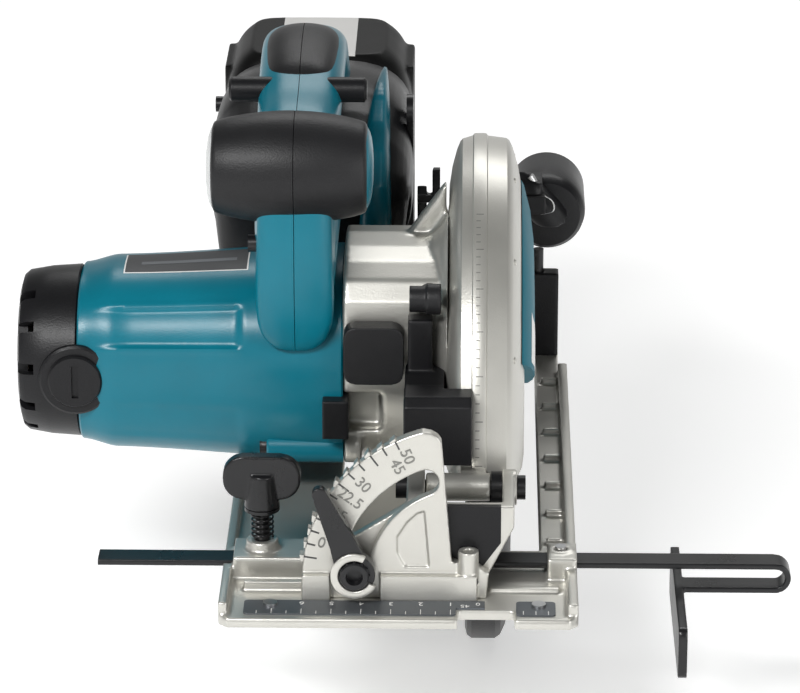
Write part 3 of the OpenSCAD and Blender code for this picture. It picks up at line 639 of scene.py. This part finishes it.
def make_upper_guard():
    """Upper guard with its lever slot, inner and outer flanks, hinge barrel, rim scale and rivets."""
    guard = sweep("guard_shell", guard_profile(), 0, 180, 180)
    cut(guard, sweep("lever_slot", [(51, 62.6), (55.6, 62.6), (55.6, 75.4), (51, 75.4)], -3, 97, 60))
    sharpen(guard, 28)
    web = [(GUARD_X0 + 0.1, 23), (GUARD_X0 + 0.1, 41), (GUARD_X0 + 2.0, 41), (GUARD_X0 + 2.0, 23)]
    inside = sweep("guard_web", web, 0, 180, 90)
    face = [(GUARD_X1 - 1.8, 22.5), (GUARD_X1 - 1.8, 41), (GUARD_X1, 41), (GUARD_X1, 22.5)]
    outside = sweep("guard_face", face, 0, 180, 90)
    stand_for(guard, "upper_guard")
    trim(inside, "saw_body", "silver_cast")
    trim(outside, "saw_body", "silver_cast")
    point = path_tube([(46.4, -101, 29, 5, 5), (47, -101, 29, 5, 5)], 1)  # flat, so only a 0.2 mm point is left
    hinge = [point, box_part(58, 67, -103, -90, 25.5, 33), round_part(46.3, 68.4, -101, 29, 4.9)]
    barrel = merge("hinge_barrel", hinge, 0.6, 3)
    trim(barrel, "saw_body", "silver_cast")
    mark_x, mark_r = GUARD_X0 + 10.6, GUARD_R - 0.18
    for i in range(31):
        a = math.radians(118 + i * 1.9)
        long = 2.6 if i % 5 == 0 else 1.5
        mark = make_object("guard_mark_%02d" % i, *tick_part(mark_x, mark_x + long, a, mark_r, 0.18), smooth=False)
        trim(mark, "saw_body", "silver_cast", "mark_grey")
    rivet_profile = [(-1, 0), (-1, 1.3), (0.5, 1.2), (0.9, 0.6), (1.0, 0)]
    for a in (34, 62, 100, 128, 152):
        c = (GUARD_X1 - 4.2, ARBOR_Y + 87 * math.cos(math.radians(a)), ARBOR_Z + 87 * math.sin(math.radians(a)))
        rivet = lathe("guard_rivet_%d" % a, rivet_profile, c, (1, 0, 0), 24)
        trim(rivet, "saw_body", "silver_cast")


def tick_part(x0, x1, a, r, width):
    """A thin raised line across the guard's rim."""
    t = width / r
    verts = []
    for rr in (r - 0.4, r + 0.2):
        for aa in (a - t, a + t):
            for x in (x0, x1):
                verts.append((x, ARBOR_Y + rr * math.cos(aa), ARBOR_Z + rr * math.sin(aa)))
    return verts, BOX_FACES


def make_guard_cover():
    """Coloured side cover, a shallow convex shield that follows the guard."""
    profile = [(GUARD_X1 + x, r) for x, r in (
        (-0.2, 23), (1.4, 24), (3.0, 34), (3.6, 46), (3.3, 56), (2.1, 66), (-0.2, 75), (-1.2, 77), (-1.4, 75),
        (-0.6, 62), (-0.2, 40))]
    cover = sweep("side_shield", profile, 50, 152, 110)
    stand_for(sharpen(cover, 34), "guard_cover", material="teal_matte")
    panel = [(GUARD_X1 + x, r) for x, r in ((2.9, 34), (3.72, 46), (3.42, 56), (2.3, 65.4), (1.4, 65), (2.4, 46))]
    flash = sweep("side_flash", panel, 134, 150, 16)
    trim(sharpen(flash, 34), "saw_body", "insert_grey", "label_white")


def make_lower_guard():
    """Swinging guard: a rounded skirt on a ring about the arbor."""
    low, high = span("lower_guard")
    r = ARBOR_Z - low[2]
    profile = [(low[0], 20), (low[0], r - 4), (low[0] + 0.8, r - 1.2), (low[0] + 2.4, r), (high[0] - 5.2, r),
               (high[0] - 3.2, r - 1.4), (high[0] - 1.4, r - 5.4), (high[0], r - 12), (high[0], 21),
               (high[0] - 1.6, 21), (high[0] - 1.6, r - 12.4), (high[0] - 5.8, r - 1.9), (low[0] + 3, r - 1.9),
               (low[0] + 1.6, r - 4.6), (low[0] + 1.6, 20)]
    skirt = sweep("swing_guard", profile, 184, 356, 150)
    ring = [(low[0], 14.1), (low[0], 24), (low[0] + 1.6, 24), (low[0] + 1.6, 14.1)]
    hub = sweep("swing_guard_hub", ring, 0, 360, 96)
    stand_for(sharpen(skirt, 30), "lower_guard")
    trim(sharpen(hub, 30), "lower_guard", slot_of_node["lower_guard"])


def make_gear_case():
    """Gear case with a flared neck that meets the guard and stays clear of the guard lever."""
    neck_y, neck_z, lever_clear_r, slot_end_y = -22, 62, 55.0, -9
    rings = []
    for back, grow in ((14, 0), (9, 0.6), (5, 2.2), (2.2, 5.2), (-0.6, 10)):
        ring = []
        for i in range(64):
            t = 2 * math.pi * i / 64
            y, z = neck_y + (33 + grow) * math.cos(t) * 0.98, neck_z + (28 + grow) * math.sin(t)
            far = math.hypot(y - ARBOR_Y, z - ARBOR_Z)
            shrink = min(1.0, lever_clear_r / far) if y > slot_end_y else 1.0
            ring.append((GUARD_X0 - back, ARBOR_Y + (y - ARBOR_Y) * shrink, ARBOR_Z + (z - ARBOR_Z) * shrink))
        rings.append(ring)
    neck = take_part(loft("neck", rings))
    stand_for(cast_copy("gear_case_cast", ["gear_case"], 0.9, 5, [neck]), "gear_case")


make_upper_guard()
make_guard_cover()
make_lower_guard()
make_gear_case()


# ---------- small castings and mouldings ----------
def soften_nodes():
    """Castings and mouldings whose CAD shape is right, with moulded edges."""
    for node, voxel, smooth in (("base_plate", 0.7, 2), ("bevel_quadrant", 0.45, 2), ("tilt_bracket", 0.6, 3),
                                ("rear_bracket", 0.7, 2), ("bevel_lever", 0.4, 3), ("chip_cover", 0.6, 4),
                                ("rubber_stop", 0.4, 3), ("lamp_housing", 0.5, 4), ("wing_screw", 0.45, 4),
                                ("depth_lever", 0.5, 3), ("shaft_lock", 0.45, 3), ("trigger", 0.5, 4),
                                ("rip_fence", 0.5, 1), ("wrench_holder", 0.6, 3), ("guard_lever", 0.5, 3)):
        stand_for(cast_copy(node + "_cast", [node], voxel, smooth), node)


def make_nozzle():
    """Dust nozzle: open tube, shoulder into the guard, clip, pin and wire."""
    high = span("dust_nozzle")[1]
    tube_r, start_y, axis_z = 14.5, 84, 64.5
    length = high[1] - start_y
    profile = [(0.6, 0), (0.3, 9), (1.2, 12.4), (3.4, 14.0), (7, tube_r), (length - 0.6, tube_r), (length, 14.1),
               (length, 12.2), (4, 12.0), (4, 0)]
    barrel = lathe("nozzle_tube", profile, (high[0] - tube_r, start_y, axis_z), (0, 1, 0), 96)
    stand_for(sharpen(barrel, 34), "dust_nozzle")
    rows = [(80, 86, 80, 4, 7), (83, 84, 76, 6, 9), (87, 84, 71, 7, 10), (91, 86, 66, 7, 10)]
    shoulder = merge("nozzle_shoulder", [path_tube(rows, 5, 32, 0.7), box_part(78, 88, 76, 90, 70, 80)], 0.7, 5)
    trim(shoulder, "saw_body", "black_plastic")
    clip = merge("nozzle_clip", [box_part(80.5, 89, 72, 77, 69, 76)], 0.4, 3)
    trim(clip, "saw_body", "black_plastic")
    pin_profile = [(0, 0), (0, 1.5), (6, 1.5), (6.4, 1.1), (6.4, 0)]
    pin = lathe("nozzle_pin", pin_profile, (83.2, 78.5, 82.2), (0.5, 0, -0.86), 24)
    trim(pin, "saw_body", "steel")
    wire = [(88.8, 72.4, 76.2), (91.0, 72.6, 74.8), (92.2, 72.9, 72.4), (91.6, 72.9, 69.8), (87.5, 72.6, 68.8)]
    path = smooth_path(wire, 6)
    verts, faces = tube([tuple(p) for p in path], [(0.35, 0.35)] * len(path), 10)
    trim(make_object("nozzle_wire", verts, faces), "saw_body", "steel")


soften_nodes()
make_nozzle()


# ---------- marks, screws and plates ----------
def number(name, text, size, centre, turn, depth=0.12):
    """Thin raised digits centred on a point; turn is the rotation of the flat text."""
    curve = bpy.data.curves.new(name, "FONT")
    curve.body = text
    curve.size = size * MM
    curve.extrude = depth * MM
    curve.align_x, curve.align_y = "CENTER", "CENTER"
    holder = bpy.data.objects.new(name + "_curve", curve)
    bpy.context.scene.collection.objects.link(holder)
    bpy.context.view_layer.update()
    mesh = bpy.data.meshes.new_from_object(holder)
    bpy.data.objects.remove(holder)
    mesh.transform(Matrix.Translation(Vector(centre) * MM) @ turn.to_4x4())
    obj = bpy.data.objects.new(name, mesh)
    bpy.context.scene.collection.objects.link(obj)
    return obj


def bar(name, x0, x1, y0, y1, z0, z1, body, slot, material=None):
    """Plain box piece."""
    return trim(make_object(name, *box_part(x0, x1, y0, y1, z0, z1), smooth=False), body, slot, material)


def make_ruler_marks():
    """Half-centimetre lines and centimetre numbers on the ruler strip."""
    low, high = span("ruler_plate")
    top, first_x, right_x = 4.1, 55.2, 79.6
    flat = Matrix.Rotation(math.pi, 3, "Z")

    def line(name, x, length):
        bar(name, x - 0.13, x + 0.13, low[1] + 0.3, low[1] + length, top - 0.1, top + 0.07, "base", "ruler",
            "label_white")

    def digits(name, text, size, x, y):
        trim(number(name, text, size, (x, y, top), flat, 0.06), "base", "ruler", "label_white")

    for i in range(14):
        whole = i % 2 == 0
        x = first_x - 5 * i
        line("ruler_tick_%02d" % i, x, 3.9 if whole else 2.3)
        if whole and i < 12:
            digits("ruler_number_%d" % (i // 2 + 1), str(i // 2 + 1), 3.6, x, high[1] - 2.6)
    for i in range(3):
        line("ruler_tick_right_%d" % i, right_x + 4.2 * i, 3.1)
    digits("mark_zero", "0", 3.2, 64.4, high[1] - 2.4)
    digits("mark_forty_five", "45", 3.2, 60.0, high[1] - 4.2)


def make_quadrant_marks():
    """Degree numbers beside the slot, in a darker grey as painted shade of their relief, and stepped notches round
    the rim.
    """
    front = -138.0
    px, pz = 61.1, middle_of("bevel_pivot_pins")[2]
    upright = Matrix.Rotation(math.radians(90), 3, "X")
    for text, a in (("0", 164.5), ("15", 151), ("22.5", 143), ("30", 135.5), ("45", 120), ("50", 114.5)):
        t = math.radians(a)
        r = {"45": 47.8, "0": 51.2}.get(text, 49.6)
        turn = Matrix.Rotation(-math.radians(a - 180), 3, "Y") @ upright
        centre = (px + r * math.cos(t), front, pz + r * math.sin(t))
        # the raised digits are the casting's own silver; their darker mark_grey colour is painted shade standing for
        # the shading round their relief
        trim(number("bevel_number_" + text.replace(".", "_"), text, 5.4, centre, turn, 0.3), "base", "silver_cast",
             "mark_grey")
    for i in range(12):
        t = math.radians(171 - 5 * i)
        long = i % 3 == 0
        r0, r1 = (51.6 if long else 53.0), 56.05
        side = Vector((-math.sin(t), 0, math.cos(t))) * 0.28
        a = Vector((px + r0 * math.cos(t), 0, pz + r0 * math.sin(t)))
        b = Vector((px + r1 * math.cos(t), 0, pz + r1 * math.sin(t)))
        outline = [(p.x, p.z) for p in (a - side, b - side, b + side, a + side)]
        trim(make_object("bevel_tick_%02d" % i, *prism(front - 0.12, front + 0.3, outline), smooth=False), "base",
             "silver_cast", "mark_dark")
        corners = (b - side, b + side * 7, b + side * 7 + (b - a) * 0.16, b - side + (b - a) * 0.34)
        tooth = [(p.x, p.z) for p in corners]
        trim(make_object("bevel_step_%02d" % i, *prism(front + 0.2, front + 4.2, tooth), smooth=False), "base",
             "silver_cast")


def make_bevel_clamp():
    """Arm of the bevel clamp with its open washer and socket screw."""
    x, _, z = middle_of("bevel_bolt")
    ring = [(-145.9, 5.6), (-147.0, 5.6), (-147.2, 5.9), (-147.2, 7.7), (-147.0, 8.0), (-145.9, 8.0)]
    rings = []
    for i in range(61):
        t = math.radians(62 + 270 * i / 60)
        rings.append([(x + r * math.cos(t), y, z + r * math.sin(t)) for y, r in ring])
    stand_for(sharpen(loft("open_washer", rings), 35), "bevel_washer")
    screw = lathe("socket_screw", [(0, 0), (0, 2.9), (17, 2.9), (17, 4.9), (21.4, 4.9), (21.9, 4.5), (21.9, 2.9),
                                   (18.6, 2.6), (18.6, 0)], (x, -126, z), (0, -1, 0), 48)
    stand_for(sharpen(screw, 35), "bevel_bolt", material="black_steel")
    trim(lathe("bevel_nut", [(0, 0), (0, 5.2), (2.4, 5.2), (2.4, 0)], (x, -128.5, z), (0, 1, 0), 6), "bevel_lock",
         "steel")
    for i in range(12):
        t = math.radians(30 * i)
        knurl = lathe("screw_knurl_%02d" % i, [(0, 0), (0, 0.45), (3.6, 0.45), (3.6, 0)],
                      (x + 4.85 * math.cos(t), -143.6, z + 4.85 * math.sin(t)), (0, -1, 0), 8)
        trim(knurl, "bevel_lock", "black_steel")


def make_bracket_face():
    """Dark panel on the front of the bevel bracket."""
    outline = [(51, 16.5), (51, 35.1), (72, 35.1), (72, 22), (66, 13.5)]
    trim(make_object("bracket_face", *prism(-133.42, -131, outline), smooth=False), "tilt_frame", "black_plastic")


def make_nose_tube():
    """Coloured screw sleeve low on the front of the motor, with its black screw."""
    y, z = -47.5, 22.2
    sleeve_profile = [(0, 0), (0, 4.9), (0.7, 5.6), (27.1, 5.6), (27.1, 0)]
    sleeve = lathe("nose_sleeve", sleeve_profile, (-10.7, y, z), (1, 0, 0), 64)
    trim(sharpen(sleeve, 35), "saw_body", "teal_plastic")
    screw = lathe("nose_screw", [(0.8, 0), (0.8, 2.2), (0, 2.6), (0, 3.6), (0.6, 4.0), (2.5, 4.0), (2.5, 0)],
                  (-13.2, y, z), (1, 0, 0), 40)
    trim(sharpen(screw, 35), "saw_body", "black_steel")


def make_lock_pin():
    """Cross pin of the lock-off with rounded ends."""
    low, high = span("lock_off")
    length = high[0] - low[0]
    pin = lathe("lock_pin", [(0, 0), (0, 3.6), (0.9, 4.5), (length - 0.9, 4.5), (length, 3.6), (length, 0)],
                (low[0], *middle_of("lock_off")[1:]), (1, 0, 0), 48)
    stand_for(sharpen(pin, 35), "lock_off")


def housing_patch(name, x0, x1, a0, a1, lift, slope=0.0):
    """Thin plate that hugs the motor housing."""
    cols, rows = 24, 10
    verts = []
    for rise in (lift, -0.6):
        for i in range(cols + 1):
            x = x0 + (x1 - x0) * i / cols
            for j in range(rows + 1):
                a = a0 + slope * (1 - i / cols) + (a1 - a0 - slope * (1 - i / cols)) * j / rows
                verts.append(motor_point(x, housing_radius(x, a) + rise, a))
    n = rows + 1
    layer = (cols + 1) * n
    faces = []
    for i in range(cols):
        for j in range(rows):
            q = (i * n + j, (i + 1) * n + j, (i + 1) * n + j + 1, i * n + j + 1)
            faces += [q, tuple(layer + k for k in reversed(q))]
    for i in range(cols):
        for j in (0, rows):
            a, b = i * n + j, (i + 1) * n + j
            faces.append((a, b, layer + b, layer + a))
    for j in range(rows):
        for i in (0, cols):
            a, b = i * n + j, i * n + j + 1
            faces.append((a, b, layer + b, layer + a))
    obj = make_object(name, verts, faces)
    fix_normals(obj)
    return sharpen(obj, 40)


def make_nameplate():
    """Blank label on the motor housing: pale edge, dark plate and one line."""
    trim(housing_patch("nameplate_edge", -62, -17.6, 71, 105, 0.14, 2), "saw_body", "insert_grey", "label_white")
    trim(housing_patch("nameplate", -61.5, -18.1, 72, 104.4, 0.22, 2), "saw_body", "insert_grey", "label_dark")
    trim(housing_patch("nameplate_line", -56, -22, 84, 88.5, 0.27), "saw_body", "ruler")


def make_battery():
    """Battery case with side rails, blank top label and release button."""
    low, high = span("battery_case")
    x, y, _ = middle_of("battery_case")
    w, d = (high[0] - low[0]) / 2 - 0.3, (high[1] - low[1]) / 2 - 0.2
    rows = [(x, y, low[2] + 0.6, w - 5, d - 4), (x, y, low[2] + 4, w - 1.2, d - 1), (x, y, 40, w - 0.6, d - 0.4),
            (x, y, 88, w - 0.8, d - 0.6), (x, y, 102, w - 2.6, d - 1.6), (x, y, 109, w - 6, d - 3),
            (x, y, high[2] - 0.4, w - 11, d - 6)]
    shell = path_tube(rows, 5, 48, 0.34)
    rails = [box_part(x0, x0 + 4.4, y - 10, y + 22, 12, 104) for x0 in (high[0] - 5, low[0] + 0.6)]
    stand_for(merge("battery_shell", [shell] + rails, 0.9, 4), "battery_case")
    bar("battery_label", x - 14.6, x + 14.4, y - 26, y + 24, high[2] - 1.5, high[2] - 0.15, "battery", "insert_grey",
        "label_white")
    button = merge("battery_button_cap", [node_parts("battery_button")[0]], 0.4, 3)
    stand_for(button, "battery_button")


def make_wing_spring():
    """Open coil under the fence screw's wings."""
    low, high = span("wing_spring")
    x, y, _ = middle_of("wing_spring")
    coil_r, wire_r, half_turns = 3.6, 0.42, 11
    path = []
    for i in range(16 * half_turns + 1):
        t = math.pi * i / 16
        rise = (high[2] - low[2] - 0.6) * t / (half_turns * math.pi)
        path.append((x + coil_r * math.cos(t), y + coil_r * math.sin(t), low[2] + 0.5 + rise))
    coil = make_object("wing_coil", *tube(path, [(wire_r, wire_r)] * len(path), 10))
    stand_for(coil, "wing_spring", material="black_steel")


make_ruler_marks()
make_quadrant_marks()
make_bevel_clamp()
make_bracket_face()
make_nose_tube()
make_lock_pin()
make_nameplate()
make_battery()
make_wing_spring()


# ---------- stage ----------
def make_camera():
    """Long lens in front of the saw, looking down about 20 degrees."""
    cam_data = bpy.data.cameras.new("camera")
    cam_data.lens = 198.0
    cam_data.sensor_width = 36.0
    cam_data.clip_end = 20.0
    cam = bpy.data.objects.new("camera", cam_data)
    cam.location = (0.0628, -1.498, 0.6027)
    cam.rotation_euler = (math.radians(69.5), 0.0, math.radians(1.04))
    bpy.context.scene.collection.objects.link(cam)
    bpy.context.scene.camera = cam


def make_area(name, place, target, size, power):
    """Rectangular lamp aimed at target."""
    data = bpy.data.lights.new(name, "AREA")
    data.shape = "RECTANGLE"
    data.size, data.size_y = size
    data.energy = power
    lamp = bpy.data.objects.new(name, data)
    lamp.location = place
    lamp.rotation_euler = (Vector(target) - Vector(place)).to_track_quat("-Z", "Y").to_euler()
    bpy.context.scene.collection.objects.link(lamp)


def make_world():
    """Bright near the horizon and dim overhead, so that metal shows light flanks and dark tops."""
    world = bpy.data.worlds.new("world")
    world.use_nodes = True
    tree = world.node_tree
    coords = tree.nodes.new("ShaderNodeTexCoord")
    split = tree.nodes.new("ShaderNodeSeparateXYZ")
    tree.links.new(coords.outputs["Generated"], split.inputs[0])
    lift = tree.nodes.new("ShaderNodeMapRange")
    lift.inputs["From Min"].default_value = -1.0
    lift.inputs["From Max"].default_value = 1.0
    tree.links.new(split.outputs["Z"], lift.inputs["Value"])
    ramp = tree.nodes.new("ShaderNodeValToRGB")
    ramp.color_ramp.elements[0].position = 0.5
    ramp.color_ramp.elements[0].color = (1.0, 1.0, 1.0, 1)
    ramp.color_ramp.elements[1].position = 0.74
    ramp.color_ramp.elements[1].color = (0.16, 0.165, 0.16, 1)
    tree.links.new(lift.outputs[0], ramp.inputs[0])
    back = tree.nodes["Background"]
    tree.links.new(ramp.outputs[0], back.inputs[0])
    back.inputs[1].default_value = 0.72
    bpy.context.scene.world = world


def make_floor(floor_z):
    """Plain pale floor, large enough to fill every view."""
    bpy.ops.mesh.primitive_plane_add(size=30, location=(0, 8, floor_z))
    floor = bpy.context.object
    floor.name = "floor"
    mat, _, shader = node_tree("floor")
    shader.inputs["Base Color"].default_value = (0.9, 0.9, 0.9, 1)
    shader.inputs["Roughness"].default_value = 1.0
    shader.inputs["Specular IOR Level"].default_value = 0.0
    shader.inputs["Emission Color"].default_value = (1, 1, 1, 1)
    shader.inputs["Emission Strength"].default_value = 0.42
    floor.data.materials.append(mat)


def make_stage(floor_z):
    """World, floor and three soft lamps."""
    bpy.context.scene.view_settings.view_transform = "Standard"
    make_world()
    make_floor(floor_z)
    target = (0.02, 0, 0.06)
    make_area("key", (-0.55, -1.1, 1.0), target, (0.7, 0.25), 20)
    make_area("fill", (1.1, -1.0, 0.5), target, (0.5, 0.9), 7)
    make_area("rim", (0.2, 1.2, 1.2), target, (1.2, 0.5), 8)


make_camera()
make_stage(cad_box[0][2] - 0.0005)
